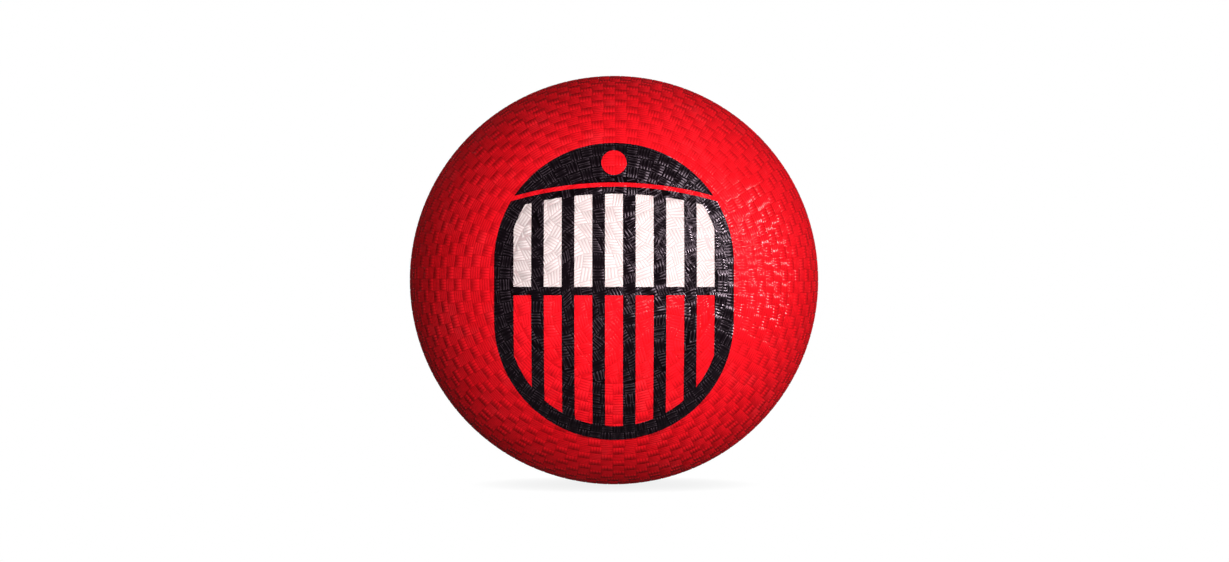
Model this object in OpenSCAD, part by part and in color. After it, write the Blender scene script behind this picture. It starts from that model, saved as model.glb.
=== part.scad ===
// Inflated playground ball: rubber cover, rubber ply, nylon winding, butyl bladder,
// needle valve and a two-colour print. The origin is the ball's centre, +Z is up,
// the print faces -Y, and the valve is at the +Y pole, on the mould's axis.

/* [Ball] */
// Outside diameter of the inflated ball, over the moulded ribs
ball_d = 254; // [240:1:270]

/* [Wall layers] */
// Thickness of the outer rubber cover, ribs included
cover_t = 1.1; // [1:0.1:2]
// Thickness of the rubber ply between the cover and the winding
ply_t = 0.4; // [0.4:0.1:1]
// Thickness of the nylon winding, several crossing threads deep
winding_t = 0.4; // [0.3:0.1:1]
// Thickness of the butyl bladder
bladder_t = 0.5; // [0.4:0.1:1]

/* [Valve] */
// Radius of the guide hole for an inflation needle
needle_hole_r = 1.25; // [1.15:0.05:1.4]
// Straight length of the guide hole
needle_hole_len = 4; // [3:0.5:5]
// Radius of the valve neck that comes out through the wall
neck_r = 3.5; // [3:0.1:4]
// Depth of the neck's face below the ribs
neck_recess = 0.5; // [0.3:0.1:0.8]
// Radius of the valve bulb inside the bladder
bulb_r = 5.5; // [5:0.1:7]
// Radius of the valve's flange, which is bonded under the bladder
flange_r = 11; // [9:0.5:14]
// Thickness of the flange
flange_t = 0.9; // [0.6:0.1:1.5]
// Radius of the self-sealing core
core_r = 3; // [2.6:0.1:3.4]
// Length of the self-sealing core
core_len = 7.5; // [6:0.5:9]
// Radius of the reinforcing patch around the neck
patch_r = 13; // [9:0.5:18]

/* [Print] */
// Width of the black panel
panel_w = 142; // [130:1:160]
// Height of the black panel
panel_h = 177; // [165:1:190]
// Height of the panel's middle above the ball's centre
panel_z = -7; // [-12:1:6]
// Number of bars in each row
bar_count = 7; // [3:2:9]
// Width of a bar
bar_w = 10.5; // [6:0.5:12]
// Distance from one bar to the next
bar_pitch = 18; // [13:0.5:20]
// Black border left around the bars
border = 8.5; // [6:0.5:12]
// Height of the line between the two rows above the ball's centre
row_line_z = -6.5; // [-12:0.5:0]
// Height of the black space between the two rows
row_gap = 5; // [3:0.5:10]
// Height of the arched gap under the cap, at its middle
arch_z = 55; // [50:1:66]
// Width of the arched gap
arch_gap = 2.5; // [1.5:0.1:5]
// Radius of the arched gap
arch_r = 230; // [180:5:400]
// Radius of the round opening in the cap
dot_r = 7.5; // [4:0.5:9]

/* [Hidden] */

FRONT = -1;
BACK = 1;

ball_r = ball_d / 2;
ply_r = ball_r - cover_t;
winding_r = ply_r - ply_t;
bladder_r = winding_r - winding_t;
bladder_inner_r = bladder_r - bladder_t;

// How far the print stands over the ribs, and how far it goes down between them
ink_proud = 0.1;
ink_depth = 0.15;
// Side of a block that is larger than the ball
block = 1.2 * ball_d;
// Extra length by which a cutting solid passes a face
over = 1;

// Heights along the valve's axis, measured from the ball's centre
neck_top = ball_r - neck_recess;
mouth_depth = 0.6;
mouth_r = needle_hole_r + 0.8;
core_top = neck_top - mouth_depth - needle_hole_len;
core_bottom = core_top - core_len;
collar_r = core_r + 0.9;
collar_h = 2;
collar_bottom = core_bottom + 0.45 * core_len;
bulb_floor = 2;
bulb_centre = core_bottom - bulb_floor + bulb_r;
slit_w = 2.4;
slit_gap = 0.1;

// Centres of the panel's two round ends
panel_r = panel_w / 2;
panel_top_z = panel_z + panel_h / 2 - panel_r;
panel_bottom_z = panel_z - panel_h / 2 + panel_r;
arch_centre_z = arch_z - arch_r;
dot_z = (arch_z + arch_gap + panel_z + panel_h / 2) / 2;
bar_margin_z = border / 2;

RUBBER_RED = [0.86, 0.05, 0.07];
INK_BLACK = [0.06, 0.05, 0.06];
INK_WHITE = [0.95, 0.92, 0.92];
PLY_BROWN = [0.55, 0.42, 0.30];
NYLON = [0.90, 0.88, 0.80];
BUTYL = [0.10, 0.10, 0.11];

$fn = 128;

// ---- Shared shapes ----

// A whole sphere whose poles lie on the mould's axis
module ball(r)
    rotate([90, 0, 0])
        sphere(r = r);

module shell(outer_r, inner_r)
    difference() {
        ball(outer_r);
        ball(inner_r);
    }

// Half of a shell, parted on the mould line
module half_shell(outer_r, inner_r, side)
    intersection() {
        shell(outer_r, inner_r);
        translate([0, side * block / 2, 0])
            cube(block, center = true);
    }

// A round bar along the valve's axis, between two distances from the ball's centre
module valve_bar(r, from, to)
    rotate([-90, 0, 0])
        translate([0, 0, from])
            cylinder(r = r, h = to - from, $fn = 64);

// A round bar across the ball, seen as a circle from the front
module front_disc(r, z)
    translate([0, 0, z])
        rotate([90, 0, 0])
            cylinder(r = r, h = block / 2, $fn = 160);

// A rectangular bar across the ball, seen as a rectangle from the front
module front_rect(x_from, x_to, z_from, z_to)
    translate([x_from, -block / 2, z_from])
        cube([x_to - x_from, block / 2, z_to - z_from]);

// ---- Ball wall ----

module cover_front()
    color(RUBBER_RED)
        difference() {
            half_shell(ball_r, ply_r, FRONT);
            // The print's bed
            ink_film()
                inked_area();
        }

module cover_back()
    color(RUBBER_RED)
        difference() {
            half_shell(ball_r, ply_r, BACK);
            valve_bar(neck_r, ply_r - over, ball_r + over);
        }

module ply_front()
    color(PLY_BROWN)
        half_shell(ply_r, winding_r, FRONT);

module ply_back()
    color(PLY_BROWN)
        difference() {
            half_shell(ply_r, winding_r, BACK);
            valve_bar(neck_r, winding_r - over, ply_r + over);
        }

module winding()
    color(NYLON)
        difference() {
            shell(winding_r, bladder_r);
            valve_bar(patch_r, bladder_r - 2 * over, winding_r + over);
        }

module bladder_front()
    color(BUTYL)
        half_shell(bladder_r, bladder_inner_r, FRONT);

module bladder_back()
    color(BUTYL)
        difference() {
            half_shell(bladder_r, bladder_inner_r, BACK);
            valve_bar(neck_r, bladder_inner_r - over, bladder_r + over);
        }

// ---- Valve ----

module valve_patch()
    color(PLY_BROWN)
        intersection() {
            shell(winding_r, bladder_r);
            difference() {
                valve_bar(patch_r, bladder_r - 2 * over, winding_r + over);
                valve_bar(neck_r, bladder_r - 3 * over, winding_r + 2 * over);
            }
        }

// Flange and bulb, up to the bladder's inner face
module valve_base()
    intersection() {
        ball(bladder_inner_r);
        union() {
            difference() {
                valve_bar(flange_r, bladder_inner_r - 2 * flange_t, ball_r);
                ball(bladder_inner_r - flange_t);
            }
            valve_bar(bulb_r, bulb_centre, ball_r);
            translate([0, bulb_centre, 0])
                sphere(r = bulb_r, $fn = 64);
        }
    }

// The space for the core, with a groove for its collar
module core_shape() {
    valve_bar(core_r, core_bottom, core_top);
    valve_bar(collar_r, collar_bottom, collar_bottom + collar_h);
}

module valve_housing()
    color(BUTYL)
        difference() {
            union() {
                valve_base();
                valve_bar(neck_r, core_top, neck_top);
            }
            core_shape();
            // Guide hole for the needle, with a funnel at its mouth
            valve_bar(needle_hole_r, core_top - over, neck_top + over);
            rotate([-90, 0, 0])
                translate([0, 0, neck_top - mouth_depth])
                    cylinder(r1 = needle_hole_r, r2 = mouth_r, h = mouth_depth, $fn = 64);
            // Passage for the air, into the bladder
            valve_bar(needle_hole_r, core_bottom - 2 * bulb_floor, core_bottom + over);
        }

module valve_core()
    color(BUTYL)
        difference() {
            core_shape();
            // The slit that the needle opens
            translate([0, (core_bottom + core_top) / 2, 0])
                cube([slit_w, core_len + 2 * over, slit_gap], center = true);
        }

// ---- Print ----

// The panel's outline, with round ends, drawn in by a margin
module panel(margin) {
    r = panel_r - margin;
    front_disc(r, panel_top_z);
    front_disc(r, panel_bottom_z);
    front_rect(-r, r, panel_bottom_z, panel_top_z);
}

// All the bars of one row, as tall as the panel
module bar_row(z_from, z_to)
    for (i = [-(bar_count - 1) / 2 : (bar_count - 1) / 2])
        front_rect(i * bar_pitch - bar_w / 2, i * bar_pitch + bar_w / 2, z_from, z_to);

module upper_bars()
    intersection() {
        bar_row(row_line_z + row_gap / 2, ball_r);
        panel(border);
        front_disc(arch_r - bar_margin_z, arch_centre_z);
    }

module lower_bars()
    intersection() {
        bar_row(-ball_r, row_line_z - row_gap / 2);
        panel(border);
    }

// Everything that is printed, in either colour
module inked_area()
    difference() {
        panel(0);
        lower_bars();
        front_disc(dot_r, dot_z);
        difference() {
            front_disc(arch_r + arch_gap, arch_centre_z);
            front_disc(arch_r, arch_centre_z);
        }
    }

// A film of ink on the front of the ball, where it meets a solid
module ink_film()
    intersection() {
        difference() {
            sphere(r = ball_r + ink_proud);
            sphere(r = ball_r - ink_depth);
        }
        children();
    }

module print_black()
    color(INK_BLACK)
        ink_film()
            difference() {
                inked_area();
                upper_bars();
            }

module print_white()
    color(INK_WHITE)
        ink_film()
            upper_bars();

cover_front();
cover_back();
ply_front();
ply_back();
winding();
bladder_front();
bladder_back();
valve_patch();
valve_housing();
valve_core();
print_black();
print_white();
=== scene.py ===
"""Inflated playground ball, seen from its printed side.

The CAD frame gives the ball's size. The red cover's moulded skin is made here as real ribs: rings
of patches about the mould's axis, whose ribs run towards the pole and along the ring by turns, and
an irregular, hand-cut crown around each pole. The inks are films that follow the ribs.
All lengths are in metres.
"""
import math
import random
import bmesh
import bpy
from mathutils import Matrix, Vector
from mathutils.geometry import delaunay_2d_cdt


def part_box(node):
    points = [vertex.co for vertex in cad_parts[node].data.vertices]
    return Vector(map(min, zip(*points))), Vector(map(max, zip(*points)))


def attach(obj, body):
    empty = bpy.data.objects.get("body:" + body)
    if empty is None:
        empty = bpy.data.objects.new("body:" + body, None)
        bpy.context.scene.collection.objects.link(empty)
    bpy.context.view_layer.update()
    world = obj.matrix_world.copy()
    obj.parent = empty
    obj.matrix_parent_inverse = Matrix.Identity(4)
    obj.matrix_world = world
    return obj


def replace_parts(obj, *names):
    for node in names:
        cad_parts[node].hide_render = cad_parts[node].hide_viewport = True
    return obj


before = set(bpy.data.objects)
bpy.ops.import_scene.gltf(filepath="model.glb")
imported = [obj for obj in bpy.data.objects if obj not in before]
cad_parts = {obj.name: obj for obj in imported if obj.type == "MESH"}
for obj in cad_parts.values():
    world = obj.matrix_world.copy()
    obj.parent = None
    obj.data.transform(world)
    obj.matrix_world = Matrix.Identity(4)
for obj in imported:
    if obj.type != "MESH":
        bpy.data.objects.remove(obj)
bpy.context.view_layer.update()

MM = 0.001
FRONT, BACK = -1, 1

# ---- Sizes from the frame ----
BALL_R = round(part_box("cover_front")[1][0], 4)
COVER_INNER_R = round(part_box("ply_front")[1][0], 4)
PANEL_LOW, PANEL_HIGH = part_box("print_black")
# The radius of the valve's neck, as in part.scad
VALVE_HOLE_R = 3.5 * MM

# ---- The mould's pattern ----
RIB_HEIGHT = 0.34 * MM
# The radius of the skin's floor, which the ribs stand on
SKIN_R = BALL_R - RIB_HEIGHT
# From the mould line to the crown: how many rings share a count of patch pairs, and that count
RING_GROUPS = ((5, 59), (3, 52), (3, 48), (3, 42), (2, 36), (2, 30))
RING_COUNT = sum(rings for rings, _ in RING_GROUPS)
RING_PITCH = math.radians(3.386)
# Where each ring's first pair of patches lies, in pairs from +X
CHEQUER_PLACE = 0.2
# The bead along the mould line
BEAD_WIDTH = 0.35 * MM
BEAD_HEIGHT = 0.2 * MM
# Angles from the pole at which the rings end and the crown ends
RING_END = math.pi / 2 - BEAD_WIDTH / BALL_R
CROWN_END = RING_END - RING_COUNT * RING_PITCH
CROWN_PITCH = 7.3 * MM
LATTICE_REACH = 1.3
CORNER_JITTER = 0.5 * MM
# Patches' ribs have a height within these shares of RIB_HEIGHT
RING_RIB_SHARES = (0.72, 0.78)
CROWN_RIB_SHARES = (0.7, 0.78)

# ---- One rib ----
RIB_PITCH = 1.8 * MM
# Shares of the pitch that a rib's foot and its top take up
RIB_SHARE = 0.88
RIB_TOP_SHARE = 0.56
# Gaps between a rib and its patch's outline, and how far its ends slope inwards
RIB_END_GAP = 0.12 * MM
RIB_SIDE_GAP = 0.05 * MM
RIB_END_SLOPE = 0.2 * MM
RIB_SHORTEST = 1.0 * MM
RIB_TILT = 0.035 * MM

# ---- The pad around the valve ----
PAD_R = 9.5 * MM
PAD_CLEAR = 1.2 * MM
# Distance from the axis and height above the skin's floor, in mm
PAD_PROFILE = ((9.5, 0), (9.2, 0.17), (8.9, 0.26), (8.4, 0.28), (8.1, 0.2), (7.8, 0.03), (7.3, 0),
               (5.5, 0), (5.2, 0.04), (4.95, 0.2), (4.7, 0.28), (4.1, 0.28), (3.75, 0.2), (3.5, 0.02))

# ---- The smooth inner face: its rows in degrees from the pole ----
INNER_ROWS = range(84, 5, -6)
# From these rows on, every second point is dropped
HALVING_ROWS = (42, 18)
HALVING_ROWS_AT_VALVE = (42,)

# ---- The print, as in part.scad ----
BAR_COUNT = 7
BAR_WIDTH = 10.5 * MM
BAR_PITCH = 18 * MM
BORDER = 8.5 * MM
ROW_LINE = -6.5 * MM
ROW_GAP = 5 * MM
ARCH_TOP = 55 * MM
ARCH_GAP = 2.5 * MM
ARCH_R = 230 * MM
DOT_R = 7.5 * MM
INK_THICKNESS = 0.05 * MM
OUTLINE_STEP = 2.5 * MM

# ---- Mesh tolerances ----
WELD = 0.002 * MM
CUT_SNAP = 0.0002 * MM
CUT_MARGIN = 0.02 * MM
COVER_SHARP = math.radians(80)
FILM_SHARP = math.radians(70)

rng = random.Random(7)


# ---- Gathering faces ----

class Skin:
    """Points and faces gathered before they become a mesh. Each face remembers its patch."""

    def __init__(self, side):
        self.side = side
        self.points, self.faces, self.patches = [], [], []
        self.patch = 0

    def add(self, point):
        self.points.append(point)
        return len(self.points) - 1

    def face(self, corners):
        """Corners run the same way for both halves, and are turned over here for the back one."""
        self.faces.append(corners[::-self.side])
        self.patches.append(self.patch)


def on_ball(theta, phi, radius, side):
    """A point at theta from the pole and phi around it, counted from +X towards +Z."""
    ring = radius * math.sin(theta)
    return Vector((ring * math.cos(phi), side * radius * math.cos(theta), ring * math.sin(phi)))


def between(angles, start, end):
    """Those of some angles that lie strictly between two, in the order from start to end."""
    low, high = min(start, end), max(start, end)
    tiny = 1e-6
    found = []
    for angle in angles:
        angle += math.tau * math.ceil((low - angle) / math.tau)
        if low + tiny < angle < high - tiny:
            found.append(angle)
    return sorted(found, reverse=end < start)


def turned(point, angle):
    return Vector((point.x * math.cos(angle) - point.y * math.sin(angle),
                   point.x * math.sin(angle) + point.y * math.cos(angle)))


def loop_pairs(items):
    """Each item with the next one, and the last with the first."""
    return zip(items, items[1:] + items[:1])


# ---- One patch: its floor and its ribs ----

def quad_ribs(quad):
    """The feet of the ribs that fill a four-cornered patch.

    They run the way of its first side, and fan out or draw together as its sides do.
    """
    p, q, r, s = quad
    length = ((q - p).length + (r - s).length) / 2
    width = ((s - p).length + (r - q).length) / 2
    count = max(1, round(width / RIB_PITCH))
    gap = RIB_END_GAP / length
    feet = []
    for k in range(count):
        low, high = ((k + 0.5 + side * RIB_SHARE / 2) / count for side in (-1, 1))
        feet.append([p.lerp(q, u).lerp(s.lerp(r, u), v)
                     for u, v in ((gap, low), (1 - gap, low), (1 - gap, high), (gap, high))])
    return feet


def reach_at(border, along, across, offset):
    """Where a line at an offset across a patch starts and ends inside its outline, less a small gap."""
    low, high = -1.0, 1.0
    for p, q in loop_pairs(border):
        edge = q - p
        if edge.length < 1e-7:
            continue
        inward = Vector((-edge.y, edge.x)).normalized()
        slope = inward.dot(along)
        gap = RIB_END_GAP if abs(slope) > 0.5 else RIB_SIDE_GAP
        room = inward.dot(p) + gap - offset * inward.dot(across)
        if abs(slope) < 1e-6:
            if room > 0:
                high = low
        elif slope > 0:
            low = max(low, room / slope)
        else:
            high = min(high, room / slope)
    return low, high


def cut_ribs(border, angle):
    """The feet of the ribs in a patch that the crown's rim or the pad cuts.

    They are parallel, and trimmed to its outline.
    """
    along = turned(Vector((1, 0)), angle)
    across = turned(Vector((0, 1)), angle)
    offsets = [p.dot(across) for p in border]
    width = max(offsets) - min(offsets)
    count = max(1, round(width / RIB_PITCH))
    feet = []
    for k in range(count):
        sides = []
        for side in (-1, 1):
            offset = min(offsets) + width * (k + 0.5 + side * RIB_SHARE / 2) / count
            low, high = reach_at(border, along, across, offset)
            sides.append((low * along + offset * across, high * along + offset * across, high - low))
        (a, b, first), (d, c, second) = sides
        if min(first, second) > RIB_SHORTEST:
            feet.append([a, b, c, d])
    return feet


def rib_top(foot):
    """The corners of a rib's top, in the flat."""
    a, b, c, d = foot
    inset = (1 - RIB_TOP_SHARE / RIB_SHARE) / 2
    left, right = ((end - start).normalized() * RIB_END_SLOPE for start, end in ((a, b), (d, c)))
    return [a.lerp(d, inset) + left, b.lerp(c, inset) - left,
            c.lerp(b, inset) - right, d.lerp(a, inset) + right]


def add_grooves(skin, border, feet, lift):
    """The floor between a patch's outline and its ribs' feet. Returns where each foot's corners went."""
    first_foot = len(border)
    flat = border + [p for foot in feet for p in foot]
    edges = list(loop_pairs(list(range(first_foot))))
    for first in range(first_foot, len(flat), 4):
        edges += loop_pairs(list(range(first, first + 4)))
    points, _, triangles, sources, _, _ = delaunay_2d_cdt(flat, edges, [], 1, 1e-8)
    indices = []
    index_of = {}
    origins = []
    for point, found in zip(points, sources):
        index = skin.add(lift(flat[found[0]] if found else point, 0.0))
        indices.append(index)
        index_of.update((source, index) for source in found)
        origins.append(found[0] if found else -1)
    for triangle in triangles:
        corners = [origins[i] for i in triangle]
        under_rib = min(corners) >= first_foot and len({(i - first_foot) // 4 for i in corners}) == 1
        if not under_rib:
            skin.face([indices[i] for i in triangle])
    return [[index_of[first_foot + 4 * k + i] for i in range(4)] for k in range(len(feet))]


def add_rib(skin, foot, low, lift, height):
    """One rib's sides and top. The top leans to one side or the other."""
    tilt = RIB_TILT * rng.uniform(0.6, 1) * rng.choice((-1, 1))
    heights = (height - tilt, height - tilt, height + tilt, height + tilt)
    high = [skin.add(lift(point, up)) for point, up in zip(rib_top(foot), heights)]
    for (p, q), (r, s) in zip(loop_pairs(low), loop_pairs(high)):
        skin.face([p, q, s, r])
    skin.face(high)


def add_patch(skin, border, feet, lift, height):
    """One patch of the skin, from its outline and its ribs' feet in the flat.

    lift puts a flat point on the ball, at a height above the skin's floor.
    """
    skin.patch += 1
    for foot, low in zip(feet, add_grooves(skin, border, feet, lift)):
        add_rib(skin, foot, low, lift, height)


# ---- The rings ----

def ring_layout():
    """Each ring as its inner and outer angle from the pole, its patches' first corners and their step.

    Neighbouring rings are half a pair apart near +X. So their ribs make a chequer, which holds all the
    way round where the rings share a count of pairs, and drifts with the angle where they don't.
    """
    pair_counts = []
    for count, pairs in reversed(RING_GROUPS):
        pair_counts += [pairs] * count
    rings = []
    for k, pairs in enumerate(pair_counts):
        inner = CROWN_END + k * RING_PITCH
        step = math.pi / pairs
        start = (2 * (CHEQUER_PLACE + k % 2 / 2) - 1.5) * step
        corners = [start + i * step for i in range(2 * pairs)]
        rings.append((inner, inner + RING_PITCH, corners, step))
    return rings


def add_rings(skin, rings, crown_angles, end_angles):
    for k, (inner, outer, corners, step) in enumerate(rings):
        middle_theta = (inner + outer) / 2
        reach = SKIN_R * math.sin(middle_theta)
        inside = crown_angles if k == 0 else rings[k - 1][2]
        outside = end_angles if k == RING_COUNT - 1 else rings[k + 1][2]
        for i, start in enumerate(corners):
            end = start + step
            middle_phi = start + step / 2

            def flat(theta, phi):
                return Vector((SKIN_R * (theta - middle_theta), reach * (phi - middle_phi)))

            def lift(point, up):
                theta = middle_theta + point.x / SKIN_R
                return on_ball(theta, middle_phi + point.y / reach, SKIN_R + up, skin.side)

            border = [flat(outer, a) for a in [start] + between(outside, start, end) + [end]]
            border += [flat(inner, a) for a in [end] + between(inside, end, start) + [start]]
            quad = [flat(outer, start), flat(outer, end), flat(inner, end), flat(inner, start)]
            feet = quad_ribs(quad if i % 2 else quad[1:] + quad[:1])
            add_patch(skin, border, feet, lift, RIB_HEIGHT * rng.uniform(*RING_RIB_SHARES))


# ---- The crown around a pole ----

# Where the hand-cut pattern turns: place from the pole and reach in mm, and turn in degrees
FRONT_WHIRLS = (
    ((23, 25), 17, 52), ((-36, 27), 18, 46), ((38, -30), 18, -44), ((-6, -34), 15, 38),
    ((-44, -18), 14, -30), ((4, 52), 15, -34), ((50, 8), 13, 30), ((-14, 6), 14, -28),
)
BACK_WHIRLS = (
    ((30, -18), 18, 48), ((-30, -26), 17, -42), ((-22, 34), 17, 44), ((26, 36), 15, -36),
    ((0, -52), 14, 30), ((-52, 4), 13, 28),
)


def whirled(point, whirls):
    """Turns a point about each whirl's centre, less and less with distance."""
    for place, reach, turn in whirls:
        centre = Vector(place) * MM
        offset = point - centre
        point = centre + turned(offset, math.radians(turn) * math.exp(-(offset.length / (reach * MM)) ** 2))
    return point


def crown_lattice(whirls, tilt, hole_r):
    """The corners of the crown's patches, in the flat, by column and row.

    The lattice goes well past the crown's rim, because the whirls move its corners inwards too.
    """
    count = math.ceil(LATTICE_REACH * CROWN_END * SKIN_R / CROWN_PITCH)
    corners = {}
    for i in range(-count, count + 1):
        for j in range(-count, count + 1):
            corner = whirled(turned(Vector((i + 0.5, j + 0.5)) * CROWN_PITCH, tilt), whirls)
            corner += Vector((rng.uniform(-1, 1), rng.uniform(-1, 1))) * CORNER_JITTER
            if hole_r < corner.length < hole_r + PAD_CLEAR:
                corner *= (hole_r + PAD_CLEAR) / corner.length
            corners[i, j] = corner
    return corners


def is_convex(quad):
    return all((q - p).cross(r - q) > 0
               for p, q, r in zip(quad, quad[1:] + quad[:1], quad[2:] + quad[:2]))


def polar(radius, phi):
    return Vector((radius * math.cos(phi), radius * math.sin(phi)))


def crossing(inside, outside, radius):
    """The angle at which a line between two points meets a circle about the pole, found by halving."""
    low, high = 0.0, 1.0
    for _ in range(40):
        middle = (low + high) / 2
        beyond = (inside.lerp(outside, middle).length - radius) * (outside.length - radius) > 0
        low, high = (low, middle) if beyond else (middle, high)
    spot = inside.lerp(outside, low)
    return math.atan2(spot.y, spot.x)


def joined(stops, neighbours):
    """A patch's outline from its corners and crossings.

    Where it follows the rim or the hole it takes in the neighbours' points there, so that no gap
    opens between them. neighbours gives their angles for each circle's radius.
    """
    outline = []
    for (point, here), (_, following) in loop_pairs(stops):
        outline.append(point)
        if here and following:
            radius, start = here
            end = following[1] + math.tau * round((start - following[1]) / math.tau)
            outline += [polar(radius, angle) for angle in between(neighbours[radius], start, end)]
    return outline


def crown_outlines(corners, hole_r, rim_angles, hole_angles):
    """Each patch's outline, its corners if it is whole, and its ribs' angle.

    Also returns the angles at which patches meet the rim and the hole.
    """
    rim_r = SKIN_R * CROWN_END
    neighbours = {rim_r: rim_angles, hole_r: hole_angles}
    met = {rim_r: set(), hole_r: set()}
    kept = {key: hole_r < corner.length < rim_r for key, corner in corners.items()}
    outlines = []
    for i, j in corners:
        keys = [(i, j), (i + 1, j), (i + 1, j + 1), (i, j + 1)]
        if not all(key in corners for key in keys) or not any(kept[key] for key in keys):
            continue
        stops = []
        for p, q in loop_pairs(keys):
            if kept[p]:
                stops.append((corners[p], None))
            if kept[p] != kept[q]:
                inside, outside = (corners[p], corners[q]) if kept[p] else (corners[q], corners[p])
                radius = rim_r if outside.length >= rim_r else hole_r
                phi = crossing(inside, outside, radius)
                met[radius].add(phi)
                stops.append((polar(radius, phi), (radius, phi)))
        turn = (i + j) % 2
        quad = [corners[key] for key in keys[turn:] + keys[:turn]]
        along = quad[1] - quad[0] + quad[2] - quad[3]
        whole = all(kept[key] for key in keys) and is_convex(quad)
        outlines.append((joined(stops, neighbours), quad if whole else None, math.atan2(along.y, along.x)))
    return outlines, sorted(met[rim_r]), sorted(met[hole_r])


def add_crown(skin, outlines):
    for outline, quad, angle in outlines:
        centre = sum(outline, Vector((0, 0))) / len(outline)

        def lift(point, up):
            place = point + centre
            return on_ball(place.length / SKIN_R, math.atan2(place.y, place.x), SKIN_R + up, skin.side)

        border = [p - centre for p in outline]
        feet = quad_ribs([p - centre for p in quad]) if quad else cut_ribs(border, angle)
        add_patch(skin, border, feet, lift, RIB_HEIGHT * rng.uniform(*CROWN_RIB_SHARES))


# ---- Round rows: the mould line, the valve's pad and the inner face ----

def row(skin, theta, radius, angles):
    """A row of points around the pole, as their angles and their places in the skin."""
    return angles, [skin.add(on_ball(theta, a, radius, skin.side)) for a in angles]


def bridge(skin, fine, coarse):
    """Faces between two rows, where every angle of the coarse one is also in the fine one."""
    fine_angles, fine_ids = fine
    coarse_angles, coarse_ids = coarse

    def place_of(angle):
        return min(range(len(fine_angles)),
                   key=lambda i: abs(math.remainder(fine_angles[i] - angle, math.tau)))

    places = [place_of(angle) for angle in coarse_angles]
    for (i, p), (j, q) in loop_pairs(list(zip(places, coarse_ids))):
        count = (j - i) % len(fine_ids)
        stretch = [fine_ids[(i + k) % len(fine_ids)] for k in range(count + 1)]
        skin.face(stretch + [q, p])


def add_pad(skin, angles, met_angles):
    """The pad, from the rim that it shares with the crown to the valve's hole. Returns the last row."""
    rim = sorted({a % math.tau for a in angles} | {a % math.tau for a in met_angles})
    last = row(skin, PAD_R / SKIN_R, SKIN_R, rim)
    for distance, up in PAD_PROFILE[1:]:
        radius = SKIN_R + up * MM
        here = row(skin, math.asin(distance * MM / radius), radius, angles)
        bridge(skin, last, here)
        last = here
    return last


def add_inner_face(skin, edge_angles, hole_row):
    """The mould bead, the parting face and the smooth inner face, down to the pole or the valve's hole."""
    mould_line = math.pi / 2
    bead_start = RING_END + 0.3 * (mould_line - RING_END)
    bead_r = SKIN_R + BEAD_HEIGHT
    last = row(skin, RING_END, SKIN_R, edge_angles)
    for theta, radius in ((bead_start, bead_r), (mould_line, bead_r), (mould_line, COVER_INNER_R)):
        here = row(skin, theta, radius, edge_angles)
        bridge(skin, last, here)
        last = here
    angles = edge_angles
    for degrees in INNER_ROWS:
        if degrees in (HALVING_ROWS_AT_VALVE if hole_row else HALVING_ROWS):
            angles = angles[::2]
        here = row(skin, math.radians(degrees), COVER_INNER_R, angles)
        bridge(skin, last, here)
        last = here
    if hole_row:
        here = row(skin, math.asin(VALVE_HOLE_R / COVER_INNER_R), COVER_INNER_R, angles)
        bridge(skin, last, here)
        bridge(skin, here, hole_row)
    else:
        skin.face(last[1])


# ---- From skin to mesh ----

def new_piece(name, mesh):
    piece = bpy.data.objects.new(name, mesh)
    bpy.context.scene.collection.objects.link(piece)
    return piece


def skin_bmesh(skin, chosen):
    """The chosen faces as a bmesh, with each face's patch in a layer."""
    bm = bmesh.new()
    layer = bm.faces.layers.int.new("patch")
    used = sorted({i for k in chosen for i in skin.faces[k]})
    made = {i: bm.verts.new(skin.points[i]) for i in used}
    for k in chosen:
        face = bm.faces.new([made[i] for i in skin.faces[k]])
        face[layer] = skin.patches[k]
        face.smooth = True
    bmesh.ops.remove_doubles(bm, verts=bm.verts, dist=WELD)
    return bm


def finish_mesh(bm, name, sharp):
    """Makes the mesh. Edges steeper than the sharp angle aren't smoothed."""
    bmesh.ops.recalc_face_normals(bm, faces=bm.faces)
    mesh = bpy.data.meshes.new(name)
    bm.to_mesh(mesh)
    bm.free()
    mesh.set_sharp_from_angle(angle=sharp)
    return mesh


def cover_half(name, side, whirls, tilt, hole_r):
    """One half of the cover as a piece, its skin, and how many of the skin's faces are patches.

    tilt turns the crown's lattice, in radians. hole_r is the pad's radius, or 0 where there is none.
    """
    skin = Skin(side)
    rings = ring_layout()
    edge = rings[-1][2]
    half_step = rings[-1][3] / 2
    edge_angles = sorted([a % math.tau for a in edge] + [(a + half_step) % math.tau for a in edge])
    pad_angles = edge_angles[::2]
    corners = crown_lattice(whirls, tilt, hole_r)
    outlines, rim_met, hole_met = crown_outlines(corners, hole_r, rings[0][2], pad_angles)
    add_crown(skin, outlines)
    add_rings(skin, rings, rim_met, edge_angles)
    patch_faces = len(skin.faces)
    skin.patch = 0
    hole_row = add_pad(skin, pad_angles, hole_met) if hole_r else None
    add_inner_face(skin, edge_angles, hole_row)
    piece = new_piece(name, finish_mesh(skin_bmesh(skin, range(len(skin.faces))), name, COVER_SHARP))
    return piece, skin, patch_faces


# ---- The print ----

PANEL_R = PANEL_HIGH[0]
TOP_CENTRE = PANEL_HIGH[2] - PANEL_R
BOTTOM_CENTRE = PANEL_LOW[2] + PANEL_R
ARCH_CENTRE = ARCH_TOP - ARCH_R
DOT_CENTRE = (ARCH_TOP + ARCH_GAP + PANEL_HIGH[2]) / 2
BARS_R = PANEL_R - BORDER
BAR_MIDDLES = [(i - (BAR_COUNT - 1) / 2) * BAR_PITCH for i in range(BAR_COUNT)]


def arch(radius, x):
    return ARCH_CENTRE + math.sqrt(radius ** 2 - x ** 2)


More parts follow.
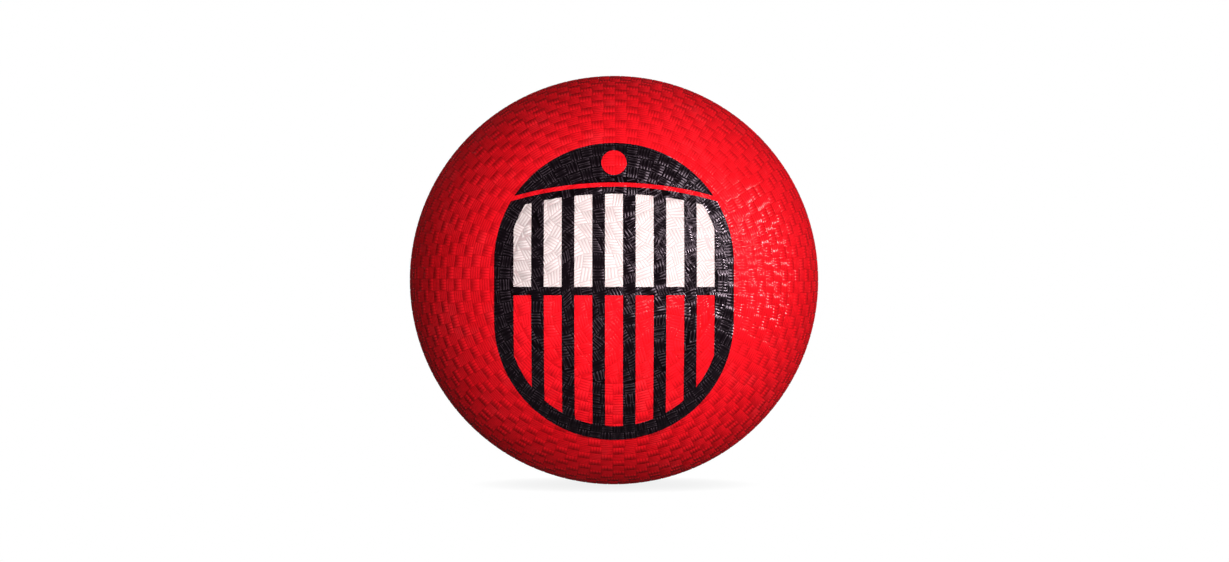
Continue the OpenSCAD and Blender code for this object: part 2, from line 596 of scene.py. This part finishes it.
def bars_top(x):
    return min(arch(ARCH_R - BORDER / 2, x), TOP_CENTRE + math.sqrt(BARS_R ** 2 - x ** 2))


def bars_bottom(x):
    return BOTTOM_CENTRE - math.sqrt(BARS_R ** 2 - x ** 2)


def ink_at(x, z):
    """Which ink lies at a place on the front: black, white or None for bare rubber."""
    nearest = min(max(z, BOTTOM_CENTRE), TOP_CENTRE)
    if math.hypot(x, z - nearest) > PANEL_R:
        return None
    if arch(ARCH_R, x) < z < arch(ARCH_R + ARCH_GAP, x) or math.hypot(x, z - DOT_CENTRE) < DOT_R:
        return None
    if any(abs(x - middle) < BAR_WIDTH / 2 for middle in BAR_MIDDLES):
        if ROW_LINE + ROW_GAP / 2 < z < bars_top(x):
            return "white"
        if bars_bottom(x) < z < ROW_LINE - ROW_GAP / 2:
            return None
    return "black"


def arc(centre, radius, start, end):
    """Points along an arc whose centre lies on the ball's middle line."""
    count = max(2, math.ceil(abs(end - start) * radius / OUTLINE_STEP))
    return [(radius * math.cos(a), centre + radius * math.sin(a))
            for a in (start + (end - start) * i / count for i in range(count + 1))]


def print_outlines():
    """The print's outlines as lists of points across the front."""
    panel = arc(TOP_CENTRE, PANEL_R, 0, math.pi) + arc(BOTTOM_CENTRE, PANEL_R, math.pi, math.tau)
    outlines = [panel + panel[:1], arc(DOT_CENTRE, DOT_R, 0, math.tau)]
    lean = math.asin(PANEL_R / ARCH_R)
    for radius in (ARCH_R, ARCH_R + ARCH_GAP):
        outlines.append(arc(ARCH_CENTRE, radius, math.pi / 2 - lean, math.pi / 2 + lean))
    for middle in BAR_MIDDLES:
        steps = [middle + BAR_WIDTH * (i / 8 - 0.5) for i in range(9)]
        for base, curve in ((ROW_LINE + ROW_GAP / 2, bars_top), (ROW_LINE - ROW_GAP / 2, bars_bottom)):
            bar = [(steps[0], base)] + [(x, curve(x)) for x in steps] + [(steps[-1], base)]
            outlines.append(bar + bar[:1])
    return outlines


def front_box(points):
    """The box around some points, seen from the front: left, right, low and high.

    A point's first number is its x and its last one its z.
    """
    xs = [point[0] for point in points]
    zs = [point[-1] for point in points]
    return min(xs), max(xs), min(zs), max(zs)


def boxes_meet(one, other):
    return one[0] < other[1] and one[1] > other[0] and one[2] < other[3] and one[3] > other[2]


def faces_near(stretch, in_patch, patch_boxes):
    """The faces whose boxes meet the one around a stretch of outline."""
    left, right, low, high = front_box(stretch)
    near = (left - CUT_MARGIN, right + CUT_MARGIN, low - CUT_MARGIN, high + CUT_MARGIN)
    found = set()
    for patch, box in patch_boxes.items():
        if boxes_meet(box, near):
            found.update(face for face in in_patch[patch]
                         if boxes_meet(front_box([v.co for v in face.verts]), near))
    return found


def cut_print(bm):
    """Cuts the faces along the print's outlines, so that each face lies in one ink."""
    layer = bm.faces.layers.int["patch"]
    in_patch = {}
    for face in bm.faces:
        in_patch.setdefault(face[layer], set()).add(face)
    patch_boxes = {patch: front_box([v.co for face in faces for v in face.verts])
                   for patch, faces in in_patch.items()}
    stretches = [stretch for outline in print_outlines() for stretch in zip(outline, outline[1:])]
    for stretch in stretches:
        faces = faces_near(stretch, in_patch, patch_boxes)
        if not faces:
            continue
        edges = {e for face in faces for e in face.edges}
        verts = {v for face in faces for v in face.verts}
        (x0, z0), (x1, z1) = stretch
        cut = bmesh.ops.bisect_plane(bm, geom=list(faces) + list(edges) + list(verts), dist=CUT_SNAP,
                                     plane_co=(x0, 0, z0), plane_no=(z1 - z0, 0, x0 - x1))
        for part in cut["geom"]:
            if isinstance(part, bmesh.types.BMFace):
                in_patch[part[layer]].add(part)


def film(chosen, name):
    """A thin closed film over the chosen faces, lying on them and following their ribs."""
    out = bmesh.new()
    outer, inner = {}, {}
    for face in chosen:
        for v in face.verts:
            if v not in outer:
                outer[v] = out.verts.new(v.co * (1 + INK_THICKNESS / v.co.length))
                inner[v] = out.verts.new(v.co)
    mine = set(chosen)
    for face in chosen:
        out.faces.new([outer[v] for v in face.verts]).smooth = True
        out.faces.new([inner[v] for v in reversed(face.verts)]).smooth = True
        for loop in face.loops:
            if sum(f in mine for f in loop.edge.link_faces) == 1:
                p, q = loop.vert, loop.link_loop_next.vert
                out.faces.new([outer[q], outer[p], inner[p], inner[q]])
    return finish_mesh(out, name, FILM_SHARP)


def print_films(skin, patch_faces):
    """The black and the white film, made from the front's patches behind the panel."""
    panel = (-PANEL_R, PANEL_R, PANEL_LOW[2], PANEL_HIGH[2])
    chosen = [k for k in range(patch_faces)
              if boxes_meet(front_box([skin.points[i] for i in skin.faces[k]]), panel)]
    bm = skin_bmesh(skin, chosen)
    cut_print(bm)
    inked = {"black": [], "white": []}
    for face in bm.faces:
        centre = face.calc_center_median()
        colour = ink_at(centre.x, centre.z)
        if colour:
            inked[colour].append(face)
    meshes = {colour: film(faces, "ink_" + colour) for colour, faces in inked.items()}
    bm.free()
    return meshes


# ---- Materials: all colours are linear ----

NOISE_ROUGHNESS = 0.55
BUMP_STRENGTH = 0.5

RED = (0.83, 0.006, 0.013)
RED_BRIGHT = (0.89, 0.009, 0.018)
RED_WORN = (0.89, 0.018, 0.028)
# Darker red for the grooves: painted shade
RED_GROOVE_SHADE = (0.69, 0.005, 0.010)
BLACK = (0.006, 0.003, 0.005)
# Darker black for the grooves: painted shade
BLACK_GROOVE_SHADE = (0.002, 0.001, 0.0015)
# Paler black along the rib crests: a painted highlight, and some wear
BLACK_CREST_WEAR_AND_HIGHLIGHT = (0.050, 0.035, 0.044)
WHITE = (0.72, 0.61, 0.60)
# Darker, pinker white for the grooves: painted shade
WHITE_GROOVE_SHADE = (0.57, 0.43, 0.43)
# Paler white along the rib crests: a painted highlight, and some wear
WHITE_CREST_WEAR_AND_HIGHLIGHT = (0.75, 0.65, 0.64)
# The inks' gloss is slightly pink
INK_TINT = (1, 0.76, 0.9, 1)


class Look:
    """A material's nodes, with short calls for the ones used here."""

    def __init__(self, name):
        self.material = bpy.data.materials.new(name)
        self.material.use_nodes = True
        self.tree = self.material.node_tree
        self.shader = self.tree.nodes["Principled BSDF"]
        self.place = self.tree.nodes.new("ShaderNodeTexCoord").outputs["Object"]

    def link(self, start, end):
        self.tree.links.new(start, end)

    def noise(self, scale, detail=3.0):
        node = self.tree.nodes.new("ShaderNodeTexNoise")
        node.inputs["Scale"].default_value = scale
        node.inputs["Detail"].default_value = detail
        node.inputs["Roughness"].default_value = NOISE_ROUGHNESS
        self.link(self.place, node.inputs["Vector"])
        return node.outputs["Fac"]

    def spread(self, value, low, high, out_low=0, out_high=1):
        """Maps low to high onto out_low to out_high, and keeps to those ends beyond them."""
        node = self.tree.nodes.new("ShaderNodeMapRange")
        sockets = ("From Min", "From Max", "To Min", "To Max")
        for socket, number in zip(sockets, (low, high, out_low, out_high)):
            node.inputs[socket].default_value = number
        self.link(value, node.inputs["Value"])
        return node.outputs["Result"]

    def blend(self, share, first, second):
        """From the first colour to the second one as share goes from 0 to 1."""
        node = self.tree.nodes.new("ShaderNodeMix")
        node.data_type = "RGBA"
        self.link(share, node.inputs["Factor"])
        for socket, colour in ((node.inputs["A"], first), (node.inputs["B"], second)):
            if isinstance(colour, tuple):
                socket.default_value = (*colour, 1)
            else:
                self.link(colour, socket)
        return node.outputs["Result"]

    def height(self):
        """How far a place is above the skin's floor: 0 in the grooves, and 1 at the ball's full radius."""
        node = self.tree.nodes.new("ShaderNodeVectorMath")
        node.operation = "LENGTH"
        self.link(self.place, node.inputs[0])
        return self.spread(node.outputs["Value"], SKIN_R, BALL_R)

    def bump(self, value, distance):
        node = self.tree.nodes.new("ShaderNodeBump")
        node.inputs["Distance"].default_value = distance
        node.inputs["Strength"].default_value = BUMP_STRENGTH
        self.link(value, node.inputs["Height"])
        self.link(node.outputs["Normal"], self.shader.inputs["Normal"])

    def colour(self, value):
        self.link(value, self.shader.inputs["Base Color"])

    def roughness(self, value, low, high):
        """Roughness that wanders between two values with some noise."""
        socket = self.shader.inputs["Roughness"]
        socket.default_value = (low + high) / 2
        self.link(self.spread(value, 0.3, 0.7, low, high), socket)


def red_rubber():
    """Mottled red, paler in worn places, with painted shade in the grooves."""
    look = Look("red_rubber")
    look.shader.inputs["Specular IOR Level"].default_value = 0.24
    mottled = look.blend(look.spread(look.noise(28), 0.35, 0.65), RED, RED_BRIGHT)
    raised_colour = look.blend(look.spread(look.noise(45, 5), 0.55, 0.75), mottled, RED_WORN)
    # The darker red low in the grooves is painted shade
    look.colour(look.blend(look.spread(look.height(), 0.1, 0.5), RED_GROOVE_SHADE, raised_colour))
    look.roughness(look.noise(90, 4), 0.09, 0.17)
    look.bump(look.noise(2600, 2), 0.01 * MM)
    return look.material


def ink_material(name, top, groove_shade, raised_colour, gloss):
    """An ink with painted shade in the grooves, and a paler colour along the highest edges of the ribs that
    is a painted highlight and some wear.
    """
    look = Look(name)
    look.shader.inputs["Specular Tint"].default_value = INK_TINT
    look.shader.inputs["Specular IOR Level"].default_value = gloss
    # Darker low in the grooves: painted shade
    groove_shaded = look.blend(look.spread(look.height(), 0.3, 0.75), groove_shade, top)
    # Paler along the rib crests: a painted highlight, and some wear
    look.colour(look.blend(look.spread(look.height(), 0.77, 0.92), groove_shaded, raised_colour))
    look.roughness(look.noise(120, 4), 0.13, 0.23)
    look.bump(look.noise(2200, 2), 0.01 * MM)
    return look.material


def plain_material(name, first, second, scale, rough):
    """Two mottled colours, for the layers inside and the valve."""
    look = Look(name)
    look.colour(look.blend(look.spread(look.noise(scale), 0.3, 0.7), first, second))
    look.roughness(look.noise(scale * 3), rough - 0.06, rough + 0.08)
    look.bump(look.noise(1800, 2), 0.02 * MM)
    return look.material


def stage_white():
    """White that darkens a little where the ball comes close: a painted contact shadow."""
    material = bpy.data.materials.new("stage_white")
    material.use_nodes = True
    nodes, links = material.node_tree.nodes, material.node_tree.links
    nodes.remove(nodes["Principled BSDF"])
    near, shade, glow = (nodes.new("ShaderNode" + kind)
                         for kind in ("AmbientOcclusion", "MapRange", "Emission"))
    near.inputs["Distance"].default_value = 30 * MM
    near.samples = 8
    shade.inputs["From Max"].default_value = 0.9
    shade.inputs["To Min"].default_value = 0.86
    links.new(near.outputs["AO"], shade.inputs["Value"])
    links.new(shade.outputs["Result"], glow.inputs["Color"])
    links.new(glow.outputs["Emission"], nodes["Material Output"].inputs["Surface"])
    return material


# ---- Building ----

front_cover, front_skin, front_patch_faces = cover_half(
    "cover_front_skin", FRONT, FRONT_WHIRLS, tilt=0.35, hole_r=0.0)
back_cover, _, _ = cover_half("cover_back_skin", BACK, BACK_WHIRLS, tilt=0.9, hole_r=PAD_R)
films = print_films(front_skin, front_patch_faces)

rubber = red_rubber()
for cover, node in ((front_cover, "cover_front"), (back_cover, "cover_back")):
    cover.data.materials.append(rubber)
    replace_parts(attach(cover, "root"), node)

INKS = {
    "black": ink_material("black_ink", BLACK, BLACK_GROOVE_SHADE, BLACK_CREST_WEAR_AND_HIGHLIGHT, 0.85),
    "white": ink_material("white_ink", WHITE, WHITE_GROOVE_SHADE, WHITE_CREST_WEAR_AND_HIGHLIGHT, 0.4),
}
for name, mesh in films.items():
    piece = new_piece("print_" + name + "_film", mesh)
    mesh.materials.append(INKS[name])
    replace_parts(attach(piece, "root"), "print_" + name)

# CAD nodes that stay as they are, with better materials: two colours, the mottling's scale, roughness
CARRIED = {
    "ply_front": plain_material("ply_rubber", (0.42, 0.30, 0.19), (0.34, 0.23, 0.14), 60, 0.6),
    "winding": plain_material("nylon_winding", (0.80, 0.77, 0.68), (0.66, 0.62, 0.52), 300, 0.6),
    "bladder_front": plain_material("butyl_bladder", (0.015, 0.015, 0.017), (0.05, 0.05, 0.05), 50, 0.55),
    "valve_patch": plain_material("patch_canvas", (0.50, 0.40, 0.27), (0.40, 0.31, 0.20), 200, 0.7),
    "valve_housing": plain_material("valve_rubber", (0.018, 0.018, 0.020), (0.03, 0.03, 0.032), 200, 0.45),
    "valve_core": plain_material("core_rubber", (0.35, 0.33, 0.30), (0.28, 0.26, 0.23), 200, 0.4),
}
CARRIED["ply_back"] = CARRIED["ply_front"]
CARRIED["bladder_back"] = CARRIED["bladder_front"]
for node, material in CARRIED.items():
    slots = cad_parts[node].data.materials
    slots.clear()
    slots.append(material)

# ---- Stage ----

CAMERA_DISTANCE = 2.125
CAMERA_X, CAMERA_Z = 0.3 * MM, -0.55 * MM
LENS = 100
SENSOR_WIDTH = 36
FLOOR_REACH = 12
WORLD_STRENGTH = 0.02


def aim(obj, target):
    obj.rotation_euler = (Vector(target) - obj.location).to_track_quat("-Z", "Y").to_euler()


def area_light(name, place, size, power, glossy=True):
    light = bpy.data.lights.new(name, "AREA")
    light.shape = "DISK"
    light.size = size
    light.energy = power
    obj = bpy.data.objects.new(name, light)
    obj.location = place
    obj.visible_camera = False
    obj.visible_glossy = glossy
    aim(obj, (0, 0, 0))
    bpy.context.scene.collection.objects.link(obj)


def add_floor():
    """A floor that shows white and a contact shade, and neither lights nor shades the ball."""
    bm = bmesh.new()
    bmesh.ops.create_grid(bm, x_segments=1, y_segments=1, size=FLOOR_REACH)
    mesh = bpy.data.meshes.new("floor")
    bm.to_mesh(mesh)
    bm.free()
    floor = new_piece("floor", mesh)
    floor.location.z = -BALL_R
    mesh.materials.append(stage_white())
    floor.visible_diffuse = False
    floor.visible_glossy = False
    floor.visible_shadow = False


def add_world():
    """White behind everything, and only a dim light from all sides."""
    world = bpy.data.worlds.new("studio")
    bpy.context.scene.world = world
    world.use_nodes = True
    nodes, links = world.node_tree.nodes, world.node_tree.links
    seen, dim = nodes["Background"], nodes.new("ShaderNodeBackground")
    seen.inputs["Color"].default_value = (1, 1, 1, 1)
    dim.inputs["Color"].default_value = (1, 1, 1, 1)
    dim.inputs["Strength"].default_value = WORLD_STRENGTH
    path, mix = nodes.new("ShaderNodeLightPath"), nodes.new("ShaderNodeMixShader")
    links.new(path.outputs["Is Camera Ray"], mix.inputs["Fac"])
    links.new(dim.outputs["Background"], mix.inputs[1])
    links.new(seen.outputs["Background"], mix.inputs[2])
    links.new(mix.outputs["Shader"], nodes["World Output"].inputs["Surface"])


add_floor()
add_world()
# Each has a place, a width and a power. Those that aren't glossy don't show in the rubber's gloss.
area_light("front", (0, -0.58, 0), 0.3, 2.9, glossy=False)
area_light("low_front", (0.35, -0.85, -0.7), 0.8, 1.7, glossy=False)
area_light("high_front", (0.15, -0.85, 0.75), 0.8, 1.5, glossy=False)
area_light("key", (0.72, -0.85, 0.42), 0.5, 3.7)
area_light("right_high", (0.95, -0.15, 0.6), 1.0, 2.1, glossy=False)
area_light("glint", (1.16, -0.22, 0.17), 0.15, 4.6)
area_light("back", (-0.45, 1.2, 0.25), 1.0, 18, glossy=False)

camera_data = bpy.data.cameras.new("camera")
camera_data.lens = LENS
camera_data.sensor_width = SENSOR_WIDTH
camera = bpy.data.objects.new("camera", camera_data)
camera.location = (CAMERA_X, -CAMERA_DISTANCE, CAMERA_Z)
aim(camera, (CAMERA_X, 0, CAMERA_Z))
bpy.context.scene.collection.objects.link(camera)
bpy.context.scene.camera = camera
bpy.context.scene.view_settings.view_transform = "Standard"
